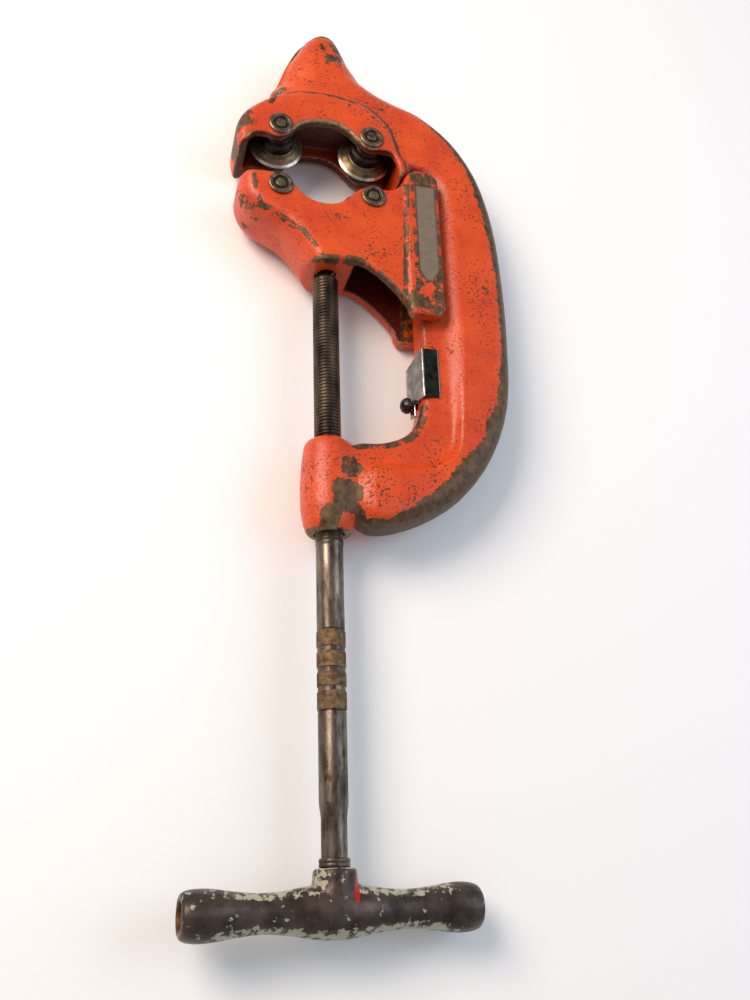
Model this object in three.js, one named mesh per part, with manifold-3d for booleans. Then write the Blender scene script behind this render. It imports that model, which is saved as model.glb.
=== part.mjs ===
// Four-wheel pipe cutter: a cast C-frame with two cutter wheels in its upper jaw, a slide housing
// with two more, and a long feed screw with a T-handle that drives the housing along the frame's rail.
// Millimetres. The feed screw lies along Y with its axis at X = 0, Z = 0; the frame's spine is at +X,
// the nose is at +Y, and the flat sides face +Z and -Z. The exported group is shifted so that its
// origin is at the middle of the bottom of the bounding box.
import * as THREE from "three";
import { mergeVertices } from "three/addons/utils/BufferGeometryUtils.js";
import Module from "manifold-3d";

const wasm = await Module();
wasm.setup();

// Driving dimensions
const PIN_XS = { left: -37.6, right: 32.65 }; // wheel pins, across
const UPPER_PIN_Y = 152.5; // wheel pins of the frame's jaw
const LOWER_PIN_Y = 97.5; // wheel pins of the housing, jaws closed
const WHEEL_RADIUS = 21;
const HUB_RADIUS = 12.6;
const HUB_HALF = 16.6; // half the width of a wheel's hub
const CHEEK_OUT = 25; // half the thickness over the cheeks
const CHEEK_IN = 17; // half the width of the wheel slots
const POCKET_RADIUS = 23.5; // wheel slot round each pin
const CREST = 20; // half the thickness of the frame's spine
const LIP = 13; // half the thickness of the rail and of the arm's inner lip
const RAIL_X = 69.5; // face of the rail that the housing slides on
const LUG_IN = 14.9; // inner face of the housing's guide lugs
const LUG_OUT = 27; // outer face of the guide lugs
const PIN_RADIUS = 4.7;
const PIN_GAP = 0.3;
const PIN_HEAD_RADIUS = 9.3;
const PIN_HEAD_LOW = 25.3;
const PIN_HEAD_TOP = 27.4;
const PIN_END = -28;
const RING_RADIUS = 7.6;
const RING_LOW = -26.6;
const RING_HIGH = -25.5;
const THREAD_RADIUS = 9.525; // 3/4 in, 10 threads to the inch
const THREAD_TOP = 33.3;
const THREAD_END = -172;
const SHANK_RADIUS = 9.13;
const SOCKET_SHANK_RADIUS = 8;
const NECK_RADIUS = 4.2;
const BUTTON_RADIUS = 7.2;
const BUTTON_LOW = 46;
const BUTTON_TOP = 53;
const SCREW_BORE_RADIUS = 7.8;
const SCREW_BORE_END = 57.8;
const KNURL_TOP = -231.4;
const KNURL_END = -282.1;
const KNURL_RADIUS = 9.5;
const KNURL_GROOVES = [-243.5, -256.8, -268.9];
const COLLAR_TOP = -369.3;
const HANDLE_TOP = -375;
const HANDLE_Y = -398.7; // middle line of the T-bar
const HANDLE_HALF = 91.6;
const HANDLE_TURN = THREE.MathUtils.degToRad(4.9);
const HANDLE_HOLE_RADIUS = 8.4;
const HANDLE_HOLE_DEPTH = 32;
const HANDLE_PIN_Y = -386;
const FRAME_BORE_RADIUS = 10;
const CLIP_TOP = -22;
const CLIP_END = -61;
const CLIP_TAB_END = -71.5;
const CLIP_SCREW_Y = -62;
const CLIP_SCREW_Z = -1.5;
const CLIP_SCREW_RADIUS = 2.5;
const THROUGH = 60; // longer than any wall that a hole goes through

const EAST = new THREE.Vector3(1, 0, 0);
const NORTH = new THREE.Vector3(0, 1, 0);
const UP = new THREE.Vector3(0, 0, 1);
const TURN_TO_Z = Math.PI / 2;

// Finishes
const finish = (color, roughness, metalness) => ({ color, roughness, metalness });
const ENAMEL = finish(0xd8481f, 0.45, 0);
const DARK_STEEL = finish(0x4a4238, 0.45, 0.9);
const SHANK_STEEL = finish(0x7a7268, 0.35, 0.9);
const WHEEL_STEEL = finish(0x9a8466, 0.35, 0.9);
const PLATED = finish(0xa8a69c, 0.2, 1);
const OLD_CASTING = finish(0x4a3e36, 0.6, 0.4);

// Solids

function solidOf(geometry) {
  const bare = geometry.clone();
  bare.deleteAttribute("normal");
  bare.deleteAttribute("uv");
  const merged = mergeVertices(bare, 1e-4);
  const triVerts = new Uint32Array(merged.index.array);
  const vertProperties = merged.attributes.position.array;
  return new wasm.Manifold(new wasm.Mesh({ numProp: 3, vertProperties, triVerts }));
}

function geometryOf(solid) {
  const mesh = solid.getMesh();
  const geometry = new THREE.BufferGeometry();
  geometry.setAttribute("position", new THREE.BufferAttribute(mesh.vertProperties, 3));
  geometry.setIndex(new THREE.BufferAttribute(mesh.triVerts, 1));
  const faceted = geometry.toNonIndexed();
  faceted.computeVertexNormals();
  return faceted;
}

const join = (solids) => solids.reduce((whole, next) => whole.add(next));
const cut = (solid, cutters) => cutters.reduce((left, next) => left.subtract(next), solid);

const vectors = (points) => points.map(([x, y]) => new THREE.Vector2(x, y));

// A line that runs smoothly through the points, with a few steps from each to the next.
function smoothRun(points, closed = false, steps = 3) {
  const corners = points.map(([x, y]) => new THREE.Vector3(x, y, 0));
  const curve = new THREE.CatmullRomCurve3(corners, closed, "centripetal");
  const spans = closed ? points.length : points.length - 1;
  return curve.getPoints(spans * steps).slice(0, closed ? -1 : undefined).map((p) => [p.x, p.y]);
}

const smoothOutline = (points, steps = 3) => smoothRun(points, true, steps);

// The direction straight into the material at each corner of a counterclockwise outline.
function inwardDirections(outline) {
  return outline.map((corner, i) => {
    const before = outline[(i + outline.length - 1) % outline.length];
    const after = outline[(i + 1) % outline.length];
    const arriving = corner.clone().sub(before).normalize();
    const leaving = after.clone().sub(corner).normalize();
    const along = arriving.clone().add(leaving).normalize();
    const stretch = Math.min(1.5, 1 / Math.max(0.1, along.dot(leaving)));
    return new THREE.Vector2(-along.y, along.x).multiplyScalar(stretch);
  });
}

// A plate between two heights whose rim is rounded: across is the rounding seen from above, deep is
// the rounding seen from the side. Each level of the rim is the outline, drawn in by its share.
function plate(points, low, high, across, deep = across, steps = 3) {
  const outline = vectors(points);
  if (THREE.ShapeUtils.isClockWise(outline)) outline.reverse();
  const inward = inwardDirections(outline);
  const rim = [];
  for (let step = 0; step <= steps; step++) {
    const angle = (step / steps) * TURN_TO_Z;
    rim.push([across * (1 - Math.sin(angle)), deep * (1 - Math.cos(angle))]);
  }
  const lower = across > 0 ? rim : [[0, 0]];
  const levels = [
    ...lower.map(([inset, rise]) => [inset, low + rise]),
    ...[...lower].reverse().map(([inset, rise]) => [inset, high - rise]),
  ];
  const count = outline.length;
  const vertProperties = new Float32Array(levels.flatMap(([inset, z]) =>
    outline.flatMap((p, i) => [p.x + inward[i].x * inset, p.y + inward[i].y * inset, z])));
  const caps = THREE.ShapeUtils.triangulateShape(outline, []);
  const top = (levels.length - 1) * count;
  const faces = caps.flatMap(([i, j, k]) => [k, j, i, top + i, top + j, top + k]);
  for (let level = 0; level < levels.length - 1; level++) {
    for (let i = 0; i < count; i++) {
      const here = level * count + i;
      const next = level * count + ((i + 1) % count);
      faces.push(here, next, next + count, here, next + count, here + count);
    }
  }
  const triVerts = new Uint32Array(faces);
  return new wasm.Manifold(new wasm.Mesh({ numProp: 3, vertProperties, triVerts }));
}

const prism = (points, low, high) => plate(points, low, high, 0);

function box(x0, x1, y0, y1, z0, z1) {
  const geometry = new THREE.BoxGeometry(x1 - x0, y1 - y0, z1 - z0);
  geometry.translate((x0 + x1) / 2, (y0 + y1) / 2, (z0 + z1) / 2);
  return solidOf(geometry);
}

// Turned pieces: a closed profile of [radius, height] turned about the Y axis.
function turned(profile, sides) {
  const outline = vectors(profile);
  if (THREE.ShapeUtils.isClockWise(outline)) outline.reverse();
  return new THREE.LatheGeometry(outline, sides);
}

const turnedAboutZ = (profile, sides) => turned(profile, sides).rotateX(TURN_TO_Z);

const rod = (radius, low, high, sides) =>
  turned([[0, low], [radius, low], [radius, high], [0, high]], sides);

const rodZ = (x, y, radius, low, high, sides = 16) =>
  solidOf(rod(radius, low, high, sides).rotateX(TURN_TO_Z).translate(x, y, 0));

const rodX = (y, z, radius, low, high, sides = 14) =>
  solidOf(rod(radius, low, high, sides).rotateZ(-TURN_TO_Z).translate(0, y, z));

function mesh(name, geometry, look) {
  const made = new THREE.Mesh(geometry, new THREE.MeshStandardMaterial(look));
  made.name = name;
  return made;
}

// Frame

// The outer sweep from the nose down the spine to the end of the lower arm.
const OUTER_SWEEP = [
  [-38, 206], [-30, 229], [-18, 251], [-2, 261], [12, 254], [21, 235], [34, 216], [54, 204],
  [78, 192], [103, 171], [122, 139], [133, 95], [137, 40], [137, -10], [133, -62], [119, -101],
  [96, -132], [66, -152], [38, -161], [22, -159], [15.5, -149],
];
// Where the thick body ends and the thin lip and rail begin, from the barrel up to the jaw.
const BODY_INNER = [
  [14, -137], [16, -124], [24, -115], [42, -113], [66, -112], [82, -102], [86.4, -80],
  [86.4, -10], [86, 60], [86, 108], [80, 126], [64, 134], [40, 152], [5, 168], [-20, 179],
  [-44, 192],
];
// The lower arm's inner lip, from the barrel up to the rail.
const LIP_EDGE = [[15, -104], [19, -99.5], [36, -98], [54, -91], [63, -80], [66.5, -68], [69.5, -56]];

const JAW_OUTLINE = [
  [-70, 152], [-65, 164], [-52, 177], [-43, 184], [-31, 190], [-10, 194], [12, 193], [30, 188],
  [43, 178], [52, 164], [56, 148], [64, 133], [58, 121], [20, 118], [-40, 118], [-65, 127],
  [-70.5, 141],
];
// The underside of the jaw: a low edge at each wheel pin and a high arch between them.
const JAW_UNDERSIDE = [
  [-63, 136], [-57, 142.5], [-50, 144], [-43, 142], [-36, 142.5], [-29, 148],
  [-22, 156], [-13, 160.3], [-2, 161.5], [8, 160], [16, 155], [23, 148], [30, 142.5],
  [39, 143], [46, 143.5], [51, 140], [54, 132], [55, 123.5],
];

function wheelPocket(y, towards) {
  const circles = Object.values(PIN_XS).map((x) =>
    rodZ(x, y, POCKET_RADIUS, -CHEEK_IN, CHEEK_IN, 28));
  const top = y + towards * (POCKET_RADIUS - 4);
  const mouth = y - towards * THROUGH;
  const low = Math.min(top, mouth);
  const high = Math.max(top, mouth);
  const between = box(PIN_XS.left, PIN_XS.right, low, high, -CHEEK_IN, CHEEK_IN);
  const wide = box(
    PIN_XS.left - POCKET_RADIUS, PIN_XS.right + POCKET_RADIUS,
    Math.min(y, mouth), Math.max(y, mouth), -CHEEK_IN, CHEEK_IN,
  );
  return join([...circles, between, wide]);
}

function frameSolid() {
  const body = plate(smoothOutline([...OUTER_SWEEP, ...BODY_INNER]), -CREST, CREST, 12, 14, 3);
  const lip = plate(
    smoothOutline([...LIP_EDGE, [90, -25], [102, -80], [70, -132], [20, -132], [15, -124]]),
    -LIP, LIP, 5, 5, 2,
  );
  const rail = plate(
    [[RAIL_X, -58], [95, -58], [95, 136], [RAIL_X, 136]], -LIP, LIP, 1.2, 1.2, 1,
  );
  const jaw = plate(smoothOutline(JAW_OUTLINE), -CHEEK_OUT, CHEEK_OUT, 9, 8, 3);
  const barrel = solidOf(turned([
    [0, -97], [13, -97], [15.8, -98.6], [17.2, -102], [18.9, -116], [19.8, -132], [19.4, -148],
    [17.6, -159], [15.4, -164.2], [13.4, -165.6], [0, -165.6],
  ], 28));
  const clipPad = box(66.4, 72, -67, -57, -7, 4);
  const under = [
    [-90, 100], [-90, 130.5], [-69, 130.5], ...smoothRun(JAW_UNDERSIDE), [57.5, 122.5],
    [62.5, 129.3], [67.5, 129.3], [67.5, 100],
  ];
  const holes = [
    prism(under, -THROUGH, THROUGH),
    wheelPocket(UPPER_PIN_Y, 1),
    ...Object.values(PIN_XS).map((x) =>
      rodZ(x, UPPER_PIN_Y, PIN_RADIUS + PIN_GAP, -THROUGH, THROUGH)),
    solidOf(rod(FRAME_BORE_RADIUS, -THROUGH * 3, -80, 24)),
    rodX(CLIP_SCREW_Y, CLIP_SCREW_Z, CLIP_SCREW_RADIUS + PIN_GAP, 60, 78.5),
  ];
  return cut(join([body, lip, rail, jaw, barrel, clipPad]), holes);
}

// Slide housing

const HOUSING_EDGE = [
  [-68.5, 98], [-65, 106], [-57, 108.5], [-36, 107.5], [-28, 102], [-22, 94], [-13, 88.5],
  [-3, 87], [7, 89.5], [15, 96], [24, 105], [34, 107.5], [43, 106.5], [51, 109], [57, 117],
  [61, 124], [66, 122], [66, 0], [61, -1], [57, 7], [49, 18], [36, 31], [24, 38.5], [14, 40],
  [0, 39], [-10, 38.6], [-17, 41], [-25, 52], [-34, 63], [-46, 70], [-57, 77], [-65, 87],
];
// The same outline run far out on the sides that stay crisp, so that only the left flank is rounded.
const FLANK_OUTLINE = [
  [-69, 99], [-67, 125], [-50, 150], [100, 150], [100, -30], [20, -30], [-4, 8], [-15, 36],
  [-25, 52], [-36, 64], [-47, 70.5], [-58, 77], [-66, 87],
];
const LUG_OUTLINE = [
  [57, 4], [57, 118], [61, 124], [66, 127], [78, 127], [84.2, 121], [84.2, 5], [80, -1], [60, -1],
];
const PANEL_OUTLINE = [[63.5, 33], [63.5, 113], [82, 113], [82, 36], [76, 24], [69, 24]];

function lug(side) {
  const low = side > 0 ? LUG_IN : -LUG_OUT;
  const high = side > 0 ? LUG_OUT : -LUG_IN;
  const block = plate(LUG_OUTLINE, low, high, 2.5, 2.2, 2);
  const face = side * LUG_OUT;
  const ends = [face - side, face + side * 0.5].sort((a, b) => a - b);
  const panel = prism(PANEL_OUTLINE, ...ends);
  return join([block, panel]);
}

function housingSolid() {
  const crisp = plate(smoothOutline(HOUSING_EDGE), -CHEEK_OUT, CHEEK_OUT, 1.6, 1.6, 1);
  const flank = plate(smoothOutline(FLANK_OUTLINE), -CHEEK_OUT, CHEEK_OUT, 12, 21, 5);
  const plates = crisp.intersect(flank);
  const bearingPad = box(56, RAIL_X - 0.6, 82, 118, -LIP, LIP);
  const hollow = [
    [19, 20], [19, 58], [27, 68], [49, 68], [56, 60], [56, 50], [90, 50], [90, -20], [40, -20],
  ];
  const railChannel = box(60.6, 120, -20, 140, -LUG_IN, LUG_IN);
  const screwPins = [-1, 1].map((side) => rodZ(side * 6.5, 43.6, 2.2, -THROUGH, 15, 16));
  const holes = [
    wheelPocket(LOWER_PIN_Y, -1),
    prism(hollow, -CHEEK_IN, CHEEK_IN),
    railChannel,
    ...Object.values(PIN_XS).map((x) =>
      rodZ(x, LOWER_PIN_Y, PIN_RADIUS + PIN_GAP, -THROUGH, THROUGH)),
    solidOf(rod(SCREW_BORE_RADIUS, 20, SCREW_BORE_END, 20)),
    ...screwPins,
  ];
  return join([cut(join([plates, lug(1), lug(-1)]), holes), bearingPad]);
}

// Wheels, pins and rings

const WHEEL_PROFILE = [
  [PIN_RADIUS + PIN_GAP, -HUB_HALF], [HUB_RADIUS, -HUB_HALF], [HUB_RADIUS, -5], [14.4, -4.4],
  [WHEEL_RADIUS, -0.3], [WHEEL_RADIUS, 0.3], [14.4, 4.4], [HUB_RADIUS, 5], [HUB_RADIUS, HUB_HALF],
  [PIN_RADIUS + PIN_GAP, HUB_HALF], [PIN_RADIUS + PIN_GAP, -HUB_HALF],
];

const PIN_PROFILE = [
  [0, PIN_END], [PIN_RADIUS - 0.8, PIN_END], [PIN_RADIUS, PIN_END + 0.8], [PIN_RADIUS, RING_LOW - 0.3],
  [3.8, RING_LOW - 0.3], [3.8, RING_HIGH + 0.3], [PIN_RADIUS, RING_HIGH + 0.3],
  [PIN_RADIUS, PIN_HEAD_LOW], [PIN_HEAD_RADIUS, PIN_HEAD_LOW], [PIN_HEAD_RADIUS, PIN_HEAD_TOP - 0.5],
  [PIN_HEAD_RADIUS - 0.6, PIN_HEAD_TOP], [5.9, PIN_HEAD_TOP], [5.6, 26], [3.8, 26],
  [3.6, PIN_HEAD_TOP - 0.2], [0, PIN_HEAD_TOP - 0.2],
];

const RING_PROFILE = [
  [4.1, RING_LOW], [RING_RADIUS, RING_LOW], [RING_RADIUS, RING_HIGH], [4.1, RING_HIGH], [4.1, RING_LOW],
];

const aboutPin = (profile, x, y, sides) => turnedAboutZ(profile, sides).translate(x, y, 0);

function wheelStation(level, side, y) {
  const name = `${level}_${side}`;
  const x = PIN_XS[side];
  return [
    mesh(`cutter_wheel_${name}`, aboutPin(WHEEL_PROFILE, x, y, 28), WHEEL_STEEL),
    mesh(`wheel_pin_${name}`, aboutPin(PIN_PROFILE, x, y, 16), SHANK_STEEL),
    mesh(`retaining_ring_${name}`, aboutPin(RING_PROFILE, x, y, 14), DARK_STEEL),
  ];
}

// Feed screw and handle

function screwProfile() {
  const knurl = [[SHANK_RADIUS, KNURL_TOP], [KNURL_RADIUS, KNURL_TOP - 0.5]];
  for (const groove of KNURL_GROOVES) {
    knurl.push([KNURL_RADIUS, groove + 1.9], [SHANK_RADIUS, groove + 1.5]);
    knurl.push([SHANK_RADIUS, groove - 1.5], [KNURL_RADIUS, groove - 1.9]);
  }
  knurl.push([KNURL_RADIUS, KNURL_END + 0.5], [SHANK_RADIUS, KNURL_END]);
  return [
    [0, BUTTON_TOP], [BUTTON_RADIUS - 0.8, BUTTON_TOP], [BUTTON_RADIUS, BUTTON_TOP - 0.8],
    [BUTTON_RADIUS, BUTTON_LOW + 0.5], [BUTTON_RADIUS - 0.5, BUTTON_LOW], [NECK_RADIUS, BUTTON_LOW],
    [NECK_RADIUS, THREAD_TOP + 0.6], [NECK_RADIUS + 2.6, THREAD_TOP], [THREAD_RADIUS, THREAD_TOP - 2.6],
    [THREAD_RADIUS, THREAD_END], [SHANK_RADIUS, THREAD_END - 1.5], ...knurl,
    [SHANK_RADIUS, -338], [SOCKET_SHANK_RADIUS, -346], [SOCKET_SHANK_RADIUS, HANDLE_Y - 1.8],
    [SOCKET_SHANK_RADIUS - 0.8, HANDLE_Y - 2.6], [0, HANDLE_Y - 2.6],
  ];
}

const screwSolid = () =>
  cut(solidOf(turned(screwProfile(), 20)), [rodZ(0, HANDLE_PIN_Y, 2.7, -THROUGH, 9.6, 16)]);

// Half of the T-bar's outline, from an end to the middle, as [radius, distance from the middle].
const HALF_BAR = [
  [11.6, HANDLE_HALF], [13.2, 89.8], [14.4, 85], [14.7, 78], [13.7, 68], [12, 56], [11.2, 45],
  [11.9, 32], [14, 19], [15.5, 9],
];

function handleSolid() {
  const other = HALF_BAR.map(([radius, along]) => [radius, -along]).reverse();
  const rim = new THREE.SplineCurve(vectors([...HALF_BAR, [16, 0], ...other])).getPoints(26);
  const outline = [[0, HANDLE_HALF], ...rim.map((p) => [p.x, p.y]), [0, -HANDLE_HALF]];
  const bar = solidOf(turned(outline, 20).rotateZ(-TURN_TO_Z).translate(0, HANDLE_Y, 0));
  const socket = solidOf(turned([
    [0, HANDLE_Y], [14.6, HANDLE_Y], [14.6, -388], [13.8, -383], [13.4, -377],
    [12.6, HANDLE_TOP], [0, HANDLE_TOP],
  ], 20));
  const end = HANDLE_HALF - HANDLE_HOLE_DEPTH;
  return cut(join([bar, socket]), [
    rodX(HANDLE_Y, 0, HANDLE_HOLE_RADIUS, end, THROUGH * 2, 16),
    rodX(HANDLE_Y, 0, HANDLE_HOLE_RADIUS, -THROUGH * 2, -end, 16),
    solidOf(rod(SOCKET_SHANK_RADIUS + 0.3, HANDLE_Y - 3.2, -360, 20)),
    rodZ(0, HANDLE_PIN_Y, 2.7, -THROUGH, 9.6, 16),
  ]);
}

function screwPieces() {
  const group = new THREE.Group();
  const collar = turned([
    [8.3, -374.7], [9.3, -374.7], [9.7, -373.6], [9.7, -370.4], [9.3, COLLAR_TOP], [8.3, COLLAR_TOP],
    [8.3, -374.7],
  ], 20);
  group.add(mesh("feed_screw", geometryOf(screwSolid()), DARK_STEEL));
  group.add(mesh("t_handle", geometryOf(handleSolid()), OLD_CASTING));
  group.add(mesh("handle_collar", collar, OLD_CASTING));
  const pin = rod(2.4, -14.4, 9.2, 16).rotateX(TURN_TO_Z).translate(0, HANDLE_PIN_Y, 0);
  group.add(mesh("handle_pin", pin, SHANK_STEEL));
  group.rotation.y = HANDLE_TURN;
  return group;
}

// The screw's end in the housing: a hard disc that it pushes on, and two pins that hold its button.
function thrustPieces() {
  const disc = rod(7.4, BUTTON_TOP + 0.3, SCREW_BORE_END - 0.4, 20);
  const pins = [["left", -6.5], ["right", 6.5]].map(([side, x]) =>
    mesh(`screw_pin_${side}`, rod(1.9, -24, 14.5, 14).rotateX(TURN_TO_Z).translate(x, 43.6, 0), SHANK_STEEL));
  return [mesh("thrust_disc", disc, WHEEL_STEEL), ...pins];
}

// Rail clip

// A bent sheet screwed to the frame: one leg lies on the front of the rail, the other stands off
// along the rail's side, and runs down into a tab that the screw goes through.
function clipSolid() {
  const bend = new THREE.Shape(vectors([
    [80, 13.3], [80, 14.5], [67.3, 14.5], [61.3, -8], [62.5, -8.3], [68.5, 13.3],
  ]));
  const length = CLIP_TOP - CLIP_TAB_END;
  const sheet = new THREE.ExtrudeGeometry(bend, { depth: length, bevelEnabled: false });
  sheet.rotateX(TURN_TO_Z).translate(0, CLIP_TOP, 0);
  const sideOutline = new THREE.Shape(vectors([
    [CLIP_TOP, 16], [CLIP_TOP, 12], [CLIP_TOP - 9, -10], [-50, -10], [-57, CLIP_SCREW_Z - 3.4],
    [CLIP_TAB_END, CLIP_SCREW_Z - 3.4], [CLIP_TAB_END, CLIP_SCREW_Z + 3.2],
    [CLIP_SCREW_Y, CLIP_SCREW_Z + 3.2], [CLIP_END, 12], [CLIP_END, 16],
  ]));
  const side = new THREE.ExtrudeGeometry(sideOutline, { depth: THROUGH, bevelEnabled: false });
  side.applyMatrix4(new THREE.Matrix4().makeBasis(NORTH, UP, EAST)).translate(40, 0, 0);
  const hole = rodX(CLIP_SCREW_Y, CLIP_SCREW_Z, CLIP_SCREW_RADIUS + PIN_GAP, 50, 70, 16);
  return cut(solidOf(sheet).intersect(solidOf(side)), [hole]);
}

function clipPieces() {
  const screw = turned([
    [0, 54.2], [2.6, 54.6], [4.7, 56], [6, 58.4], [5.7, 61], [CLIP_SCREW_RADIUS, 61],
    [CLIP_SCREW_RADIUS, 77.6], [0, 77.6],
  ], 16).rotateZ(-TURN_TO_Z).translate(0, CLIP_SCREW_Y, CLIP_SCREW_Z);
  return [mesh("rail_clip", geometryOf(clipSolid()), PLATED), mesh("clip_screw", screw, DARK_STEEL)];
}

// The whole cutter

function pipeCutter() {
  const cutter = new THREE.Group();
  cutter.add(mesh("frame", geometryOf(frameSolid()), ENAMEL));
  cutter.add(mesh("slide_housing", geometryOf(housingSolid()), ENAMEL));
  for (const side of ["left", "right"]) {
    cutter.add(...wheelStation("upper", side, UPPER_PIN_Y));
    cutter.add(...wheelStation("lower", side, LOWER_PIN_Y));
  }
  cutter.add(screwPieces(), ...thrustPieces(), ...clipPieces());
  const bounds = new THREE.Box3().setFromObject(cutter, true);
  const middle = bounds.getCenter(new THREE.Vector3());
  cutter.position.set(-middle.x, -middle.y, -bounds.min.z);
  const whole = new THREE.Group();
  whole.add(cutter);
  return whole;
}

export default pipeCutter();
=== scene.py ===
"""Looks of the four-wheel pipe cutter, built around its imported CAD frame.

Places are written in the part's own millimetres: the feed screw's axis is X = 0, Z = 0, +Y points
from the T-handle to the nose, and +Z comes out of the front. at() turns them to the frame's metres.
"""

import math

import bpy
import numpy as np
from mathutils import Matrix, Vector


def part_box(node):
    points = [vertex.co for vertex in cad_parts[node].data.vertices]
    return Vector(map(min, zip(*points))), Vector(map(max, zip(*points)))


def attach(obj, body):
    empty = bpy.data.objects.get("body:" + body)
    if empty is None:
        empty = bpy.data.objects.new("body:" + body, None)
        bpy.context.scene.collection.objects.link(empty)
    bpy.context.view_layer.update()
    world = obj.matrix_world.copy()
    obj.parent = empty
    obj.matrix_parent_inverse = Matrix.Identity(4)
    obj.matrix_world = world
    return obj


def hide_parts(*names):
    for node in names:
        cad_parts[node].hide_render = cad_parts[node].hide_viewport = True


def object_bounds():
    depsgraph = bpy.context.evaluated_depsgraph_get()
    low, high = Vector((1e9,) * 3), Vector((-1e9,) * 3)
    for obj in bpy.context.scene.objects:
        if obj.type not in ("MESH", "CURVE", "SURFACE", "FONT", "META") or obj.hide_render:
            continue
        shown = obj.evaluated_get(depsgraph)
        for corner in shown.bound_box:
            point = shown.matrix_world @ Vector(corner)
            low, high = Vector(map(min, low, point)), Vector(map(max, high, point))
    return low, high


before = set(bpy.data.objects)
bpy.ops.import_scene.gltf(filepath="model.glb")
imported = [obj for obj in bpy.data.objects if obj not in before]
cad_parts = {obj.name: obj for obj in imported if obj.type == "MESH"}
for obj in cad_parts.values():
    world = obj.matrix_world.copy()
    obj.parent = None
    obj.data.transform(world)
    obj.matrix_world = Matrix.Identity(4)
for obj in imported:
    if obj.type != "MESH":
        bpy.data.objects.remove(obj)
cad_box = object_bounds()

MM = 0.001

# Stations along the feed screw, and sizes that several pieces share, in part millimetres
BUTTON_TOP = 53.0
THREAD_TOP = 33.3
THREAD_END = -172.0
THREAD_PITCH = 2.54
THREAD_RADIUS = 9.5
THREAD_DEPTH = 1.1
SHANK_RADIUS = 9.1
KNURL_TOP = -231.4
KNURL_END = -282.1
KNURL_GROOVES = (-243.5, -256.8, -268.9)
KNURL_TEETH = 34
KNURL_HELIX = 9.5  # length over which each family of teeth turns by one radian
HANDLE_Y = -398.7
HANDLE_TURN = math.radians(4.9)
PIN_LEFT, PIN_RIGHT = -37.6, 32.65
UPPER_PIN_Y, LOWER_PIN_Y = 152.5, 97.5
STATIONS = ("upper_left", "upper_right", "lower_left", "lower_right")


def corners(node):
    """The lowest and highest corner of a CAD node's box, in metres."""
    low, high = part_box(node)
    return np.array(low), np.array(high)


screw_low, screw_high = corners("feed_screw")
ORIGIN = (screw_low + screw_high) / 2
ORIGIN[1] = screw_high[1] - BUTTON_TOP * MM
FLOOR_Z = cad_box[0][2]


def at(points):
    """Part millimetres to the frame's metres."""
    return ORIGIN + np.asarray(points, dtype=float) * MM


def part_mm(points):
    """The frame's metres to part millimetres."""
    return (np.asarray(points, dtype=float) - ORIGIN) / MM


def centre_of(node):
    """The middle of a CAD node's box, in part millimetres."""
    low, high = corners(node)
    return part_mm((low + high) / 2)


# Surfaces


def grid_faces(rows, columns):
    """Quads of a grid of points stored row by row, each row closed into a ring."""
    row = np.arange(rows - 1)[:, None]
    column = np.arange(columns)[None, :]
    after = (column + 1) % columns
    ring = (row * columns + column, row * columns + after,
            (row + 1) * columns + after, (row + 1) * columns + column)
    return np.stack(ring, -1).reshape(-1, 4)


def rounded(profile, radius=0.25, steps=3):
    """A profile whose corners become quadratic curves, from the point a radius before the corner to the
    point a radius after it, with the corner as the curve's control point."""
    points = [np.array(p, dtype=float) for p in profile]
    t = np.linspace(0, 1, steps + 1)[:, None]
    out = [points[:1]]
    for before, corner, after in zip(points, points[1:], points[2:]):
        back, on = before - corner, after - corner
        reach = min(radius, 0.45 * np.linalg.norm(back), 0.45 * np.linalg.norm(on))
        start = corner + back / np.linalg.norm(back) * reach
        end = corner + on / np.linalg.norm(on) * reach
        out.append((1 - t) ** 2 * start + 2 * t * (1 - t) * corner + t**2 * end)
    out.append(points[-1:])
    return np.concatenate(out)


def carried_round(radius, height, angle, axis="y", centre=(0, 0, 0)):
    """Points at a radius and a height, at an angle round the axis: radius times the angle's cosine and
    sine across the axis, and the height along it."""
    across, up = radius * np.cos(angle), radius * np.sin(angle)
    along = np.broadcast_to(height, across.shape)
    order = {"y": (up, along, across), "z": (across, up, along)}[axis]
    return np.stack(order, -1).reshape(-1, 3) + np.array(centre, dtype=float)


def turned(profile, sides, axis="y", centre=(0, 0, 0)):
    """A lathe's surface: each [radius, height] of the profile is carried round the axis."""
    profile = np.asarray(profile, dtype=float)
    angle = np.arange(sides) / sides * 2 * np.pi
    return carried_round(profile[:, :1], profile[:, 1:], angle[None, :], axis, centre)


def merged(points, faces):
    """Points that lie together become one, and faces that shrink to nothing are dropped."""
    kept, inverse = np.unique(np.round(points, 4), axis=0, return_inverse=True)
    inverse = inverse.reshape(-1)
    rings = [[v for i, v in enumerate(face) if v != face[i - 1]] for face in inverse[faces].tolist()]
    return kept, [ring for ring in rings if len(set(ring)) > 2]


def points_of(mesh):
    """The mesh's points, one row each."""
    points = np.empty(len(mesh.vertices) * 3)
    mesh.vertices.foreach_get("co", points)
    return points.reshape(-1, 3)


def middles_of(mesh):
    """The middle point of each face."""
    middles = np.empty(len(mesh.polygons) * 3)
    mesh.polygons.foreach_get("center", middles)
    return middles.reshape(-1, 3)


def face_outwards(mesh):
    """Turns a closed mesh the right way out: the volume summed over its triangles is positive."""
    mesh.calc_loop_triangles()
    triangles = np.empty(len(mesh.loop_triangles) * 3, dtype=np.int32)
    mesh.loop_triangles.foreach_get("vertices", triangles)
    a, b, c = np.moveaxis(points_of(mesh)[triangles.reshape(-1, 3)], 1, 0)
    if np.einsum("ij,ij->i", a, np.cross(b, c)).sum() < 0:
        mesh.flip_normals()


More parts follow.
